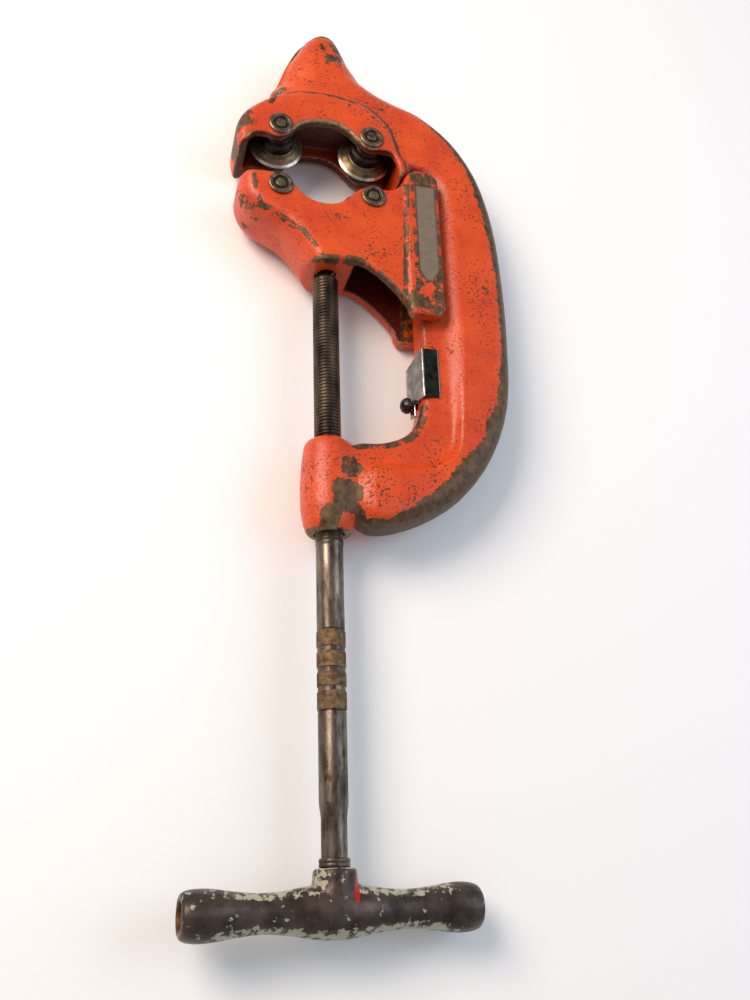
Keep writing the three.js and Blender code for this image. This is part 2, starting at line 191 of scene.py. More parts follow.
def dress(piece, material, body, replaced=()):
    """Gives a piece its material and its body, and hides the CAD nodes that it stands for."""
    piece.data.materials.clear()
    piece.data.materials.append(material)
    piece.data.polygons.foreach_set("use_smooth", [True] * len(piece.data.polygons))
    piece.data.update()
    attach(piece, body)
    if replaced:
        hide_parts(*replaced)


def piece_of(name, points, faces):
    """A new object at the origin, from points in part millimetres, with its faces turned outwards."""
    mesh = bpy.data.meshes.new(name)
    mesh.from_pydata(at(points).tolist(), [], faces)
    mesh.update()
    face_outwards(mesh)
    piece = bpy.data.objects.new(name, mesh)
    bpy.context.scene.collection.objects.link(piece)
    return piece


def place(name, points, faces, material, body, replaced=()):
    """A dressed piece whose seams and poles are closed by merging the points that lie together."""
    piece = piece_of(name, *merged(points, faces))
    dress(piece, material, body, replaced)
    return piece


def set_attribute(mesh, name, values):
    """Stores one number per vertex for the materials to read."""
    layer = mesh.attributes.get(name) or mesh.attributes.new(name, "FLOAT", "POINT")
    layer.data.foreach_set("value", np.asarray(values, dtype=np.float32))


# Castings: the CAD solid is meshed evenly, softened as a mould leaves it, and given its wear and its
# painted shade


def evenly_meshed(node, voxel_mm, name):
    """A copy of a CAD node with its loose triangles merged and its surface meshed in even squares."""
    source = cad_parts[node].copy()
    source.data = source.data.copy()
    source.parent = None
    bpy.context.scene.collection.objects.link(source)
    weld = source.modifiers.new("weld", "WELD")
    weld.merge_threshold = 1e-5
    voxels = source.modifiers.new("voxels", "REMESH")
    voxels.mode = "VOXEL"
    voxels.voxel_size = voxel_mm * MM
    bpy.context.view_layer.update()
    mesh = bpy.data.meshes.new_from_object(source.evaluated_get(bpy.context.evaluated_depsgraph_get()))
    mesh.name = name
    piece = bpy.data.objects.new(name, mesh)
    bpy.context.scene.collection.objects.link(piece)
    bpy.data.objects.remove(source)
    return piece


def neighbour_mean(values, edges, count):
    """The mean of each vertex's neighbours, column by column."""
    sums = [np.bincount(edges[:, 0], column[edges[:, 1]], len(values))
            + np.bincount(edges[:, 1], column[edges[:, 0]], len(values)) for column in values.T]
    return np.stack(sums, -1) / count[:, None]


def edges_of(mesh):
    """The mesh's edges, and how many of them meet at each vertex."""
    edges = np.empty(len(mesh.edges) * 2, dtype=np.int32)
    mesh.edges.foreach_get("vertices", edges)
    count = np.bincount(edges, minlength=len(mesh.vertices))
    return edges.reshape(-1, 2), np.maximum(count, 1).astype(float)


def soften(mesh, softness, rounds):
    """Moves each vertex part of the way to its neighbours' mean, round after round."""
    edges, count = edges_of(mesh)
    points = points_of(mesh)
    share = np.broadcast_to(softness, len(points))[:, None] * 0.5
    for _ in range(rounds):
        points += share * (neighbour_mean(points, edges, count) - points)
    mesh.vertices.foreach_set("co", points.reshape(-1))
    mesh.update()


def normals_of(mesh):
    """The direction that each vertex faces."""
    normals = np.empty(len(mesh.vertices) * 3)
    mesh.vertex_normals.foreach_get("vector", normals)
    return normals.reshape(-1, 3)


def bulge_of(mesh, rounds=3):
    """How far each vertex stands above its neighbours' mean along its normal, in millimetres, spread
    over a few rounds of neighbours: positive on ridges, negative in grooves."""
    edges, count = edges_of(mesh)
    points = points_of(mesh)
    lift = ((points - neighbour_mean(points, edges, count)) * normals_of(mesh)).sum(1) / MM
    lift = lift[:, None]
    for _ in range(rounds):
        lift = (lift + neighbour_mean(lift, edges, count)) / 2
    return lift[:, 0]


def ramp(values, low, high):
    """0 below low, 1 above high, and smooth between them."""
    t = np.clip((values - low) / (high - low), 0, 1)
    return t * t * (3 - 2 * t)


def near_line(points, line, reach):
    """1 on a line of [x, y] corners, falling to 0 at its reach; the reach may change along the line."""
    line = np.asarray(line, dtype=float)
    reach = np.broadcast_to(reach, len(line)).astype(float)
    share = np.zeros(len(points))
    for start, end, reach_a, reach_b in zip(line, line[1:], reach, reach[1:]):
        step = end - start
        t = np.clip(((points[:, :2] - start) @ step) / (step @ step), 0, 1)
        gap = np.linalg.norm(points[:, :2] - start - t[:, None] * step, axis=1)
        share = np.maximum(share, 1 - ramp(gap / (reach_a + (reach_b - reach_a) * t), 0.45, 1.0))
    return share


def near_point(points, centre, radius):
    """1 at a point, falling to 0 at the radius."""
    return 1 - ramp(np.linalg.norm(points - np.array(centre), axis=1) / radius, 0.4, 1.0)


def inside(points, outline, margin=0.6):
    """1 inside a closed [x, y] outline that turns counterclockwise and is convex, falling to 0
    outside it over the margin."""
    outline = np.asarray(outline, dtype=float)
    depth = np.full(len(points), 1e9)
    for start, end in zip(outline, np.roll(outline, -1, axis=0)):
        step = (end - start) / np.linalg.norm(end - start)
        depth = np.minimum(depth, (points[:, :2] - start) @ np.array([-step[1], step[0]]))
    return ramp(depth, -margin, margin)


# Materials


def linear(code):
    """An sRGB hex colour as linear red, green, blue and alpha."""
    parts = [int(code[i:i + 2], 16) / 255 for i in (1, 3, 5)]
    return [p / 12.92 if p <= 0.04045 else ((p + 0.055) / 1.055) ** 2.4 for p in parts] + [1.0]


def add(tree, kind, inputs=None, out=0, **settings):
    """Adds a node and returns one of its outputs. The inputs are numbers, colours, or other outputs to
    link from, by the socket's name or place; the settings are the node's own properties."""
    node = tree.nodes.new("ShaderNode" + kind)
    for name, value in settings.items():
        setattr(node, name, value)
    for socket, value in (inputs or {}).items():
        if isinstance(value, bpy.types.NodeSocket):
            tree.links.new(value, node.inputs[socket])
        else:
            node.inputs[socket].default_value = value
    return node.outputs[out] if len(node.outputs) else node


def per_metre(size_mm):
    """The scale of a pattern on Object coordinates, whose blobs are then about that many mm across."""
    return 1 / (size_mm * MM)


def blank(name):
    """A new material's node tree with nothing in it, and the Object coordinates for its patterns."""
    material = bpy.data.materials.new(name)
    material.use_nodes = True
    material.node_tree.nodes.clear()
    return material, material.node_tree, add(material.node_tree, "TexCoord", out="Object")


def chipped_enamel():
    """Orange-red enamel brushed on sand-cast iron: glossy but pitted by the sand, with dark pinholes,
    and flaked away in jagged patches to brown-grey iron that rubbing has polished on the edges.
    Painted shade darkens the enamel in recesses, on undersides and in the wheels' slots, and draws a
    dark line along the border of the lug's pad."""
    material, tree, spot = blank("chipped_enamel_on_cast_iron")
    # The castings' attributes of wear, and of painted shade
    wear_and_shade = {name: add(tree, "Attribute", out="Fac", attribute_name=name)
            for name in ("bare", "edge", "hollow", "pad", "pad_step_shade")}
    ragged = add(tree, "TexNoise", {"Vector": spot, "Scale": per_metre(9), "Detail": 6, "Roughness": 0.62})
    flaky = add(tree, "TexNoise", {"Vector": spot, "Scale": per_metre(2.2), "Detail": 5, "Roughness": 0.6})
    clusters = add(tree, "TexNoise", {"Vector": spot, "Scale": per_metre(28), "Detail": 3})
    specks = add(tree, "TexNoise", {"Vector": spot, "Scale": per_metre(1.7), "Detail": 3, "Roughness": 0.5})
    chips = add(tree, "TexNoise", {"Vector": spot, "Scale": per_metre(4.2), "Detail": 5, "Roughness": 0.62})
    tone = add(tree, "TexNoise", {"Vector": spot, "Scale": per_metre(34), "Detail": 4, "Roughness": 0.6})
    stain = add(tree, "TexNoise", {"Vector": spot, "Scale": per_metre(5), "Detail": 6, "Roughness": 0.65})
    grain = add(tree, "TexNoise", {"Vector": spot, "Scale": per_metre(1.1), "Detail": 3, "Roughness": 0.6})
    brush = add(tree, "TexNoise", {"Vector": spot, "Scale": per_metre(5), "Detail": 2})

    rag = add(tree, "MapRange", {0: ragged, 1: 0.25, 2: 0.75, 3: -0.46, 4: 0.46})
    flake = add(tree, "MapRange", {0: flaky, 1: 0.25, 2: 0.75, 3: -0.16, 4: 0.16})
    broken = add(tree, "Math", {0: wear_and_shade["bare"], 1: rag}, operation="ADD")
    broken = add(tree, "Math", {0: broken, 1: flake}, operation="ADD")
    flakes = add(tree, "MapRange", {0: broken, 1: 0.5, 2: 0.54})
    flakes = add(tree, "Math", {0: flakes, 1: wear_and_shade["pad"]}, operation="MAXIMUM")

    swarm = add(tree, "MapRange", {0: clusters, 1: 0.3, 2: 0.7, 3: -0.06, 4: 0.06})
    pinholes = add(tree, "Math", {0: specks, 1: swarm}, operation="ADD")
    pinholes = add(tree, "MapRange", {0: pinholes, 1: 0.63, 2: 0.66})
    crowd = add(tree, "MapRange", {0: clusters, 1: 0.35, 2: 0.65, 3: -0.09, 4: 0.05})
    chipped = add(tree, "Math", {0: chips, 1: crowd}, operation="ADD")
    chipped = add(tree, "MapRange", {0: chipped, 1: 0.655, 2: 0.67})
    flakes = add(tree, "Math", {0: flakes, 1: chipped}, operation="MAXIMUM")

    share = add(tree, "MapRange", {0: tone, 1: 0.3, 2: 0.7})
    enamel = add(tree, "Mix", {0: share, 6: linear("#BC3604"), 7: linear("#D84C0C")}, 2, data_type="RGBA")
    # Painted shade: the enamel darkens to deep red-brown in recesses, on undersides and inside the wheels'
    # slots
    share = add(tree, "Math", {0: wear_and_shade["hollow"], 1: 0.93}, operation="MULTIPLY")
    enamel = add(tree, "Mix", {0: share, 6: enamel, 7: linear("#3E0E05")}, 2, data_type="RGBA")
    share = add(tree, "Math", {0: pinholes, 1: 0.8}, operation="MULTIPLY")
    enamel = add(tree, "Mix", {0: share, 6: enamel, 7: linear("#4A2216")}, 2, data_type="RGBA")

    share = add(tree, "MapRange", {0: stain, 1: 0.35, 2: 0.65})
    iron = add(tree, "Mix", {0: share, 6: linear("#3F2C1C"), 7: linear("#705538")}, 2, data_type="RGBA")
    rubbed = add(tree, "MapRange", {0: flaky, 1: 0.3, 2: 0.6})
    share = add(tree, "Math", {0: wear_and_shade["edge"], 1: rubbed}, operation="MULTIPLY")
    iron = add(tree, "Mix", {0: share, 6: iron, 7: linear("#A8906E")}, 2, data_type="RGBA")
    share = add(tree, "Math", {0: wear_and_shade["pad"], 1: 0.62}, operation="MULTIPLY")
    iron = add(tree, "Mix", {0: share, 6: iron, 7: linear("#948674")}, 2, data_type="RGBA")
    # Painted shade: a dark line along the border of the lug's pad, for the shade of its small raised step
    share = add(tree, "Math", {0: wear_and_shade["pad_step_shade"], 1: 0.8}, operation="MULTIPLY")
    iron = add(tree, "Mix", {0: share, 6: iron, 7: linear("#3A312A")}, 2, data_type="RGBA")

    gloss = add(tree, "MapRange", {0: grain, 1: 0.3, 2: 0.7, 3: 0.24, 4: 0.4})
    matt = add(tree, "MapRange", {0: stain, 1: 0.3, 2: 0.7, 3: 0.38, 4: 0.6})
    lost = add(tree, "Math", {0: flakes, 1: pinholes}, operation="MAXIMUM")
    left = add(tree, "Math", {0: 1.0, 1: lost}, operation="SUBTRACT")
    thickness = add(tree, "Bump", {"Height": left, "Distance": 0.2 * MM})
    sand = add(tree, "Bump", {"Height": grain, "Distance": 0.3 * MM, "Strength": 0.8, "Normal": thickness})
    waves = add(tree, "Bump", {"Height": brush, "Distance": 0.4 * MM, "Strength": 0.5, "Normal": sand})
    shader = add(tree, "BsdfPrincipled", {
        "Base Color": add(tree, "Mix", {0: flakes, 6: enamel, 7: iron}, 2, data_type="RGBA"),
        "Metallic": add(tree, "Math", {0: flakes, 1: 0.5}, operation="MULTIPLY"),
        "Roughness": add(tree, "Mix", {0: flakes, 2: gloss, 3: matt}),
        "Normal": waves})
    add(tree, "OutputMaterial", {"Surface": shader})
    return material


def metal(name, dark, light, rough, metallic=0.85, cloud_mm=6.0, spots=None, grain_mm=0.8, depth_mm=0.04,
          drawn=(1.0, 1.0, 1.0)):
    """Bare metal, stained in clouds from a dark to a light tone, with optional spots of another colour.
    drawn is how much finer the pattern is along X, Y and Z, so a small number draws it out."""
    material, tree, spot = blank(name)
    spot = add(tree, "Mapping", {"Vector": spot, "Scale": drawn})
    clouds = add(tree, "TexNoise", {"Vector": spot, "Scale": per_metre(cloud_mm), "Detail": 5,
                                    "Roughness": 0.62})
    fine = add(tree, "TexNoise", {"Vector": spot, "Scale": per_metre(grain_mm), "Detail": 2})
    share = add(tree, "MapRange", {0: clouds, 1: 0.36, 2: 0.64})
    colour = add(tree, "Mix", {0: share, 6: linear(dark), 7: linear(light)}, out=2, data_type="RGBA")
    if spots:
        patches = add(tree, "TexNoise", {"Vector": spot, "Scale": per_metre(cloud_mm * 0.6), "Detail": 7,
                                         "Roughness": 0.7})
        where = add(tree, "MapRange", {0: patches, 1: 0.58, 2: 0.61})
        colour = add(tree, "Mix", {0: where, 6: colour, 7: linear(spots)}, out=2, data_type="RGBA")
    roughness = add(tree, "MapRange", {0: clouds, 1: 0.3, 2: 0.7, 3: rough + 0.1, 4: rough - 0.06})
    normal = add(tree, "Bump", {"Height": fine, "Distance": depth_mm * MM, "Strength": 0.7})
    shader = add(tree, "BsdfPrincipled", {"Base Color": colour, "Metallic": metallic,
                                          "Roughness": roughness, "Normal": normal})
    add(tree, "OutputMaterial", {"Surface": shader})
    return material


def painted_handle():
    """Sand-cast iron worn smooth and brown by hands, with grey-green paint left in ragged flakes along
    both sides of the bar, and a red run of enamel down the socket."""
    material, tree, spot = blank("sand_cast_iron_old_paint")
    kept = add(tree, "Attribute", out="Fac", attribute_name="paint")
    run = add(tree, "Attribute", out="Fac", attribute_name="red_run")
    ragged = add(tree, "TexNoise", {"Vector": spot, "Scale": per_metre(5.5), "Detail": 7, "Roughness": 0.7})
    stain = add(tree, "TexNoise", {"Vector": spot, "Scale": per_metre(13), "Detail": 5, "Roughness": 0.6})
    sand = add(tree, "TexNoise", {"Vector": spot, "Scale": per_metre(1.3), "Detail": 3, "Roughness": 0.6})
    swing = add(tree, "MapRange", {0: ragged, 1: 0.25, 2: 0.75, 3: -0.8, 4: 0.8})
    field = add(tree, "Math", {0: kept, 1: swing}, operation="ADD")
    flakes = add(tree, "MapRange", {0: field, 1: 0.5, 2: 0.55})
    share = add(tree, "MapRange", {0: stain, 1: 0.35, 2: 0.65})
    iron = add(tree, "Mix", {0: share, 6: linear("#2A1F18"), 7: linear("#54453C")}, out=2, data_type="RGBA")
    coat = add(tree, "Mix", {0: flakes, 6: iron, 7: linear("#A19D84")}, out=2, data_type="RGBA")
    redness = add(tree, "MapRange", {0: run, 1: 0.45, 2: 0.55})
    colour = add(tree, "Mix", {0: redness, 6: coat, 7: linear("#B01E14")}, out=2, data_type="RGBA")
    roughness = add(tree, "MapRange", {0: stain, 1: 0.3, 2: 0.7, 3: 0.42, 4: 0.3})
    shell = add(tree, "Bump", {"Height": flakes, "Distance": 0.2 * MM})
    relief = add(tree, "Bump", {"Height": sand, "Distance": 0.22 * MM, "Strength": 0.8, "Normal": shell})
    bared = add(tree, "MapRange", {0: flakes, 1: 0.0, 2: 1.0, 3: 0.5, 4: 0.0})
    shader = add(tree, "BsdfPrincipled", {"Base Color": colour, "Metallic": bared,
                                          "Roughness": roughness, "Normal": relief})
    add(tree, "OutputMaterial", {"Surface": shader})
    return material


ENAMEL = chipped_enamel()
# Cut thread, blackened by old oil, with grey-brown clouds drawn along the bar.
THREAD = metal("turned_steel_oiled_black", "#2C2520", "#6A5A48", 0.36, 0.9, 9, drawn=(1, 0.3, 1))
# Cold-drawn bar, brown with light rust and long streaks.
SHANK = metal("drawn_steel_light_rust", "#3E342C", "#7C7062", 0.34, 0.9, 7, "#4A3826",
              drawn=(1, 0.3, 1), depth_mm=0.08)
# Knurled band, its teeth filled with brown rust.
KNURL = metal("knurled_steel_brown_rust", "#4E3C24", "#84694A", 0.5, 0.75, 4)
# Wheels of hardened tool steel, tan with film rust.
WHEEL = metal("turned_tool_steel_film_rust", "#4C3C2A", "#80694C", 0.4, 0.85, 7)
# The cutting bevel, ground bright.
BEVEL = metal("ground_tool_steel_bright", "#9A8E7C", "#C4BAA8", 0.3, 0.95, 7)
# Painted shade: turned steel coloured nearly black for the shade that falls on the wheels' hubs and in the
# grooves of the pins.
PAINTED_SHADE_STEEL = metal("turned_steel_painted_shade", "#1E1916", "#3C332B", 0.42, 0.85, 5)
# Turned pins, grey-brown and handled.
PIN = metal("turned_pin_steel_grimy", "#463A2E", "#86745E", 0.36, 0.85, 4)
# Snap rings, stamped from spring strip, dull grey.
RING = metal("stamped_spring_steel", "#3A3632", "#6E6860", 0.34, 0.9, 4)
# The handle's pin, brown with oil.
HANDLE_IRON = metal("sand_cast_iron_oiled", "#2C2420", "#5E5044", 0.42, 0.55, 5)
HANDLE = painted_handle()
# The rough bores in the handle's ends, orange-brown with dry rust.
BORE_RUST = metal("cast_iron_bore_rust", "#4A2A0C", "#8A5A20", 0.6, 0.2, 5)
# Bright zinc plate on bent sheet.
PLATE = metal("bent_sheet_zinc_plated", "#837C74", "#C8C4BC", 0.18, 0.95, 9)
# The front leg of the sheet, dark and glossy.
DARK_PLATE = metal("bent_sheet_dark_front_leg", "#1C1F1C", "#3C403A", 0.16, 0.95, 7)
# Cold-headed screw, blackened, with a soft shine.
BLACK_SCREW = metal("cold_headed_screw_blackened", "#1E1B19", "#4A443E", 0.28, 0.9, 3)


# The two castings

OUTER_RIM = [[-38, 206], [-30, 229], [-18, 251], [-2, 261], [12, 254], [21, 235], [34, 216], [54, 204],
             [78, 192], [103, 171], [122, 139], [133, 95], [137, 40], [137, -10], [133, -62], [119, -101],
             [96, -132], [66, -152], [38, -161], [22, -159], [15.5, -149]]
OUTER_RIM_WEAR = [0.1, 0.1, 4, 12, 9, 6, 7, 9, 10, 12, 14, 15, 13, 12, 16, 21, 23, 14, 5, 4, 4]
CHEEK_EDGE = [[-45, 173], [-40, 184], [-33, 186], [-25, 189], [-11, 190], [7, 189], [21, 186], [29, 186],
              [37, 180], [45, 172], [51, 162], [53.5, 153], [56, 138], [62, 129]]
ARCH_EDGE = [[22, 148], [18, 154], [11, 159], [3, 161], [-6, 161], [-14, 159], [-22, 156], [-27, 150]]
RIDGE = [[-57, 103], [-56, 90], [-51, 79], [-41, 75], [-30, 66], [-21, 61], [-14, 52], [-10, 45], [-7, 41]]
FRONT_LOWER_EDGE = [[-17, 36], [-10, 39], [14, 41], [24, 39], [36, 31], [49, 18], [57, 7], [61, -1]]
CHEEK_GROOVE = [[59, 113], [54, 11]]
VALLEY = [[17, -110], [35, -109], [53, -107], [71, -95], [82, -68], [84, -34], [86, -6]]
SPINE_FILLET = [[86.4, -40], [86.4, 108], [80, 126]]
BARREL_NOTCH = [[16, -106], [17, -130], [16, -154], [13, -166]]
LIP_LINE = [[19, -101], [36, -100], [54, -94], [63, -84], [67, -70]]
PAD = [[64.5, 36], [69.5, 26.5], [75.5, 26.5], [81, 37], [81, 112], [64.5, 112]]
PAD_BORDER = PAD + PAD[:1]
# The nose's two sides as [y, x], for crown_nose to measure across
NOSE_LEFT = [[170, -60], [190, -47], [206, -38], [229, -30], [251, -18], [261, -8]]
NOSE_RIGHT = [[170, 100], [190, 80], [204, 54], [216, 34], [235, 21], [254, 12], [261, 4]]
NOSE_TIP = 265.0


def crown_nose(mesh):
    """Rounds the nose: at each height its half thickness follows an ellipse across the outline, and
    another over the last of its length. Points are only ever drawn inwards."""
    points = part_mm(points_of(mesh))
    x, y, z = points.T
    left = np.interp(y, *np.array(NOSE_LEFT).T)
    right = np.interp(y, *np.array(NOSE_RIGHT).T)
    across = np.clip((2 * x - left - right) / (right - left), -0.97, 0.97)
    along = np.clip((y - 242) / (NOSE_TIP - 242), 0, 0.97)
    cap = 21.0 * np.sqrt(1 - across**2) * np.sqrt(1 - along**2)
    drawn = np.sign(z) * np.minimum(np.abs(z), np.maximum(cap, 7.0))
    share = ramp(y, 188, 210)
    points[:, 2] = z + share * (drawn - z)
    mesh.vertices.foreach_set("co", at(points).reshape(-1))
    mesh.update()


def in_wheel_slot(points, pin_y, towards):
    """1 on the walls of the slot that holds a pair of wheels: near either pin, or between the two on
    the side that the slot is closed."""
    x, y, z = points.T
    near = np.minimum(np.hypot(x - PIN_LEFT, y - pin_y), np.hypot(x - PIN_RIGHT, y - pin_y)) < 24.6
    depth = (y - pin_y) * towards
    between = (x > PIN_LEFT) & (x < PIN_RIGHT) & (depth < 23) & (depth > -14)
    return (near | between) * (1 - ramp(np.abs(z), 16.2, 18.0))


def cast_frame():
    """The C-frame: meshed evenly, its valley and crown softened, bare along the outer rim, the nose, the
    jaw's left tip and the foot of the boss."""
    piece = evenly_meshed("frame", 1.3, "frame_casting")
    mesh = piece.data
    points = part_mm(points_of(mesh))
    outer = np.abs(points[:, 2]) > 8
    soften(mesh, 1.0, 5)
    soften(mesh, near_line(points, VALLEY, 14) * outer, 50)
    soften(mesh, near_line(points, SPINE_FILLET, 14) * outer, 60)
    soften(mesh, near_line(points, BARREL_NOTCH, 13) * outer, 90)
    soften(mesh, near_line(points, CHEEK_EDGE, 9) * outer, 14)
    crown_nose(mesh)
    soften(mesh, ramp(points[:, 1], 190, 212), 3)
    bulge = bulge_of(mesh)
    points, normals = part_mm(points_of(mesh)), normals_of(mesh)
    x, y, z = points.T
    bare = np.maximum.reduce([
        0.95 * near_line(points, OUTER_RIM, OUTER_RIM_WEAR),
        0.9 * near_point(points, (-66, 150, 8), 27),
        0.66 * ramp(y, 236, 260),
        0.5 * near_point(points, (6, 240, 18), 24),
        0.46 * near_point(points, (-40, 190, 14), 16),
        0.95 * ramp(-y, 158, 167) * (x < 22),
        0.85 * near_point(points, (8, -142, 16), 18),
        0.74 * near_point(points, (12, -121, 14), 13),
        0.72 * near_point(points, (-2, -156, 16), 12),
        0.7 * near_line(points, LIP_LINE, 7) * (z > 6),
        0.66 * near_line(points, CHEEK_EDGE, 3.2) * (z > 16),
        0.72 * near_line(points, ARCH_EDGE, 4.5) * (z > 14),
        0.62 * ramp(bulge, 0.05, 0.12),
        0.2 * (1 - ramp(np.abs(z), 16, 20)),
    ])
    # Painted shade: the enamel is darkened on faces that look down under the nose and arch, on the walls of
    # the upper wheels' slot, and in grooves
    underside = ramp(-normals[:, 1], 0.3, 0.8) * (y > 120) * (np.abs(z) < 24)
    slots = in_wheel_slot(points, UPPER_PIN_Y, 1)
    hollow = np.maximum.reduce([underside, slots, 0.7 * ramp(-bulge, 0.04, 0.12)])
    set_attribute(mesh, "bare", np.where(slots > 0.5, np.minimum(bare, 0.3), bare))
    set_attribute(mesh, "edge", ramp(bulge, 0.03, 0.12))
    set_attribute(mesh, "hollow", hollow)
    dress(piece, ENAMEL, "frame_body", ["frame"])


def cast_housing():
    """The slide housing: sharp broken ridge round its flat face, worn pad on the guide lug."""
    piece = evenly_meshed("slide_housing", 1.05, "housing_casting")
    mesh = piece.data
    soften(mesh, 1.0, 3)
    bulge = bulge_of(mesh)
    points, normals = part_mm(points_of(mesh)), normals_of(mesh)
    x, y, z = points.T
    front = ramp(z, 16, 20)
    bare = np.maximum.reduce([
        0.6 * near_line(points, RIDGE, 2.6) * front,
        0.66 * near_line(points, FRONT_LOWER_EDGE, 2.8) * ramp(z, 12, 18),
        0.62 * near_line(points, CHEEK_GROOVE, 3.0) * front,
        0.66 * ramp(bulge, 0.05, 0.12),
        0.72 * ((x > 61) & (z > 14)) * (1 - ramp(np.abs(y - 120), 4, 8)),
        0.66 * ((x > 56) & (z > 14)) * (1 - ramp(np.abs(y - 8), 6, 14)),
        0.52 * (x > 61) * ramp(normals[:, 2], 0.2, 0.8),
        0.75 * ramp(x, 81, 83) * ramp(z, 18, 22),
        0.44 * near_point(points, (-62, 84, 6), 24),
    ])
    # Painted shade: the enamel is darkened on the walls of the lower wheels' slot, inside the housing's
    # open foot, and in grooves
    inner = in_wheel_slot(points, LOWER_PIN_Y, -1)
    inner = np.maximum(inner, (x > 17) & (x < 62) & (y < 69.5) & (np.abs(z) < 17.6))
    hollow = np.maximum(inner, 0.7 * ramp(-bulge, 0.04, 0.12))
    pad = inside(points, PAD) * ramp(z, 24, 25.5)
    set_attribute(mesh, "bare", bare)
    set_attribute(mesh, "edge", ramp(bulge, 0.03, 0.12))
    set_attribute(mesh, "hollow", hollow)
    set_attribute(mesh, "pad", pad)
    # Painted shade: a dark line along the pad's raised border
    set_attribute(mesh, "pad_step_shade", near_line(points, PAD_BORDER, 1.6) * ramp(z, 24, 25.5))
    dress(piece, ENAMEL, "housing_body", ["slide_housing"])


# Wheels, pins and rings

WHEEL_HALF = [[0, -16.6], [9.6, -16.6], [10.2, -16.0], [10.2, -12.0], [12.0, -11.6], [12.6, -11.0],
              [12.6, -5.2], [13.4, -4.5], [15.2, -4.3], [15.6, -3.7], [19.4, -1.1], [21.0, -0.1]]
BEVEL_INNER = 19.2
HUB_OUTER = 12.8


def wheels():
    """Each wheel is a turned disc with a sharp edge, between two stepped hubs."""
    for station in STATIONS:
        node = f"cutter_wheel_{station}"
        centre = centre_of(node)
        profile = rounded(WHEEL_HALF + [[r, -h] for r, h in reversed(WHEEL_HALF)], 0.3)
        points = turned(profile, 120, "z", centre)
        wheel = place(f"wheel_{station}", points, grid_faces(len(profile), 120), BEVEL,
                      f"wheel_{station}_body", [node])
        wheel.data.materials.append(WHEEL)
        wheel.data.materials.append(PAINTED_SHADE_STEEL)
        middles = part_mm(middles_of(wheel.data)) - centre
        reach = np.hypot(middles[:, 0], middles[:, 1])
        # Bevel, flat and hub zones; the hubs take the nearly black steel of painted shade
        zone = np.digitize(-reach, [-BEVEL_INNER, -HUB_OUTER])
        wheel.data.polygons.foreach_set("material_index", zone.astype(np.int32))


def wheel_pins():
    """Each pin has a washer-like head with a ring groove round its peened stud, a shank, and a snap
    ring near its end."""
    head = [[0, 27.3], [2.6, 27.35], [3.6, 27.1], [4.1, 26.3], [5.0, 26.1], [5.6, 26.5], [6.2, 27.3],
            [8.2, 27.35], [9.2, 26.7], [9.3, 25.8], [9.0, 25.3], [4.7, 25.3]]
    tail = [[4.7, -25.2], [3.9, -25.4], [3.9, -26.7], [4.7, -26.9], [4.6, -27.5], [3.9, -28], [0, -28]]
    for station in STATIONS:
        node = f"wheel_pin_{station}"
        x, y = centre_of(node)[:2]
        profile = rounded(head + tail, 0.22)
        points = turned(profile, 72, "z", (x, y, 0))
        body = "frame_body" if station.startswith("upper") else "housing_body"
        pin = place(f"pin_{station}", points, grid_faces(len(profile), 72), PIN, body, [node])
        pin.data.materials.append(PAINTED_SHADE_STEEL)
        middles = part_mm(middles_of(pin.data))
        reach = np.hypot(middles[:, 0] - x, middles[:, 1] - y)
        # Painted shade: the ring groove in each pin's head takes the nearly black steel
        groove = (reach > 3.7) & (reach < 5.9) & (middles[:, 2] > 25.6)
        pin.data.polygons.foreach_set("material_index", groove.astype(np.int32))
        snap_ring(station, x, y, body)


def snap_ring(station, x, y, body):
    """A flat ring, open on one side: a rounded rectangle carried most of the way round the pin."""
    section = rounded([[4.2, -26.5], [7.5, -26.5], [7.5, -25.6], [4.2, -25.6], [4.2, -26.5]], 0.2, 2)[:-1]
    angle = np.linspace(0.3, 2 * np.pi - 0.3, 72)[:, None] - np.pi / 2
    radius = np.broadcast_to(section[:, 0], (len(angle), len(section)))
    points = carried_round(radius, section[:, 1], angle, "z", (x, y, 0))
    faces = grid_faces(len(angle), len(section)).tolist()
    last = len(points) - len(section)
    faces += [list(range(len(section)))[::-1], [last + i for i in range(len(section))]]
    piece = piece_of(f"snap_ring_{station}", points, faces)
    dress(piece, RING, body, [f"retaining_ring_{station}"])


# The feed screw


def thread_radius(y, angle):
    """The thread's radius: a trapezoid wave of the height less the angle's share of the pitch, which
    makes a right-hand helix, and which dies away at both ends of the thread."""
    phase = (y / THREAD_PITCH - angle / (2 * np.pi)) % 1
    wave = np.clip(2.2 * np.abs(2 * phase - 1) - 0.6, 0, 1)
    fade = ramp(y, THREAD_END, THREAD_END + 4) * (1 - ramp(y, THREAD_TOP - 2, THREAD_TOP))
    return THREAD_RADIUS - THREAD_DEPTH * wave * fade


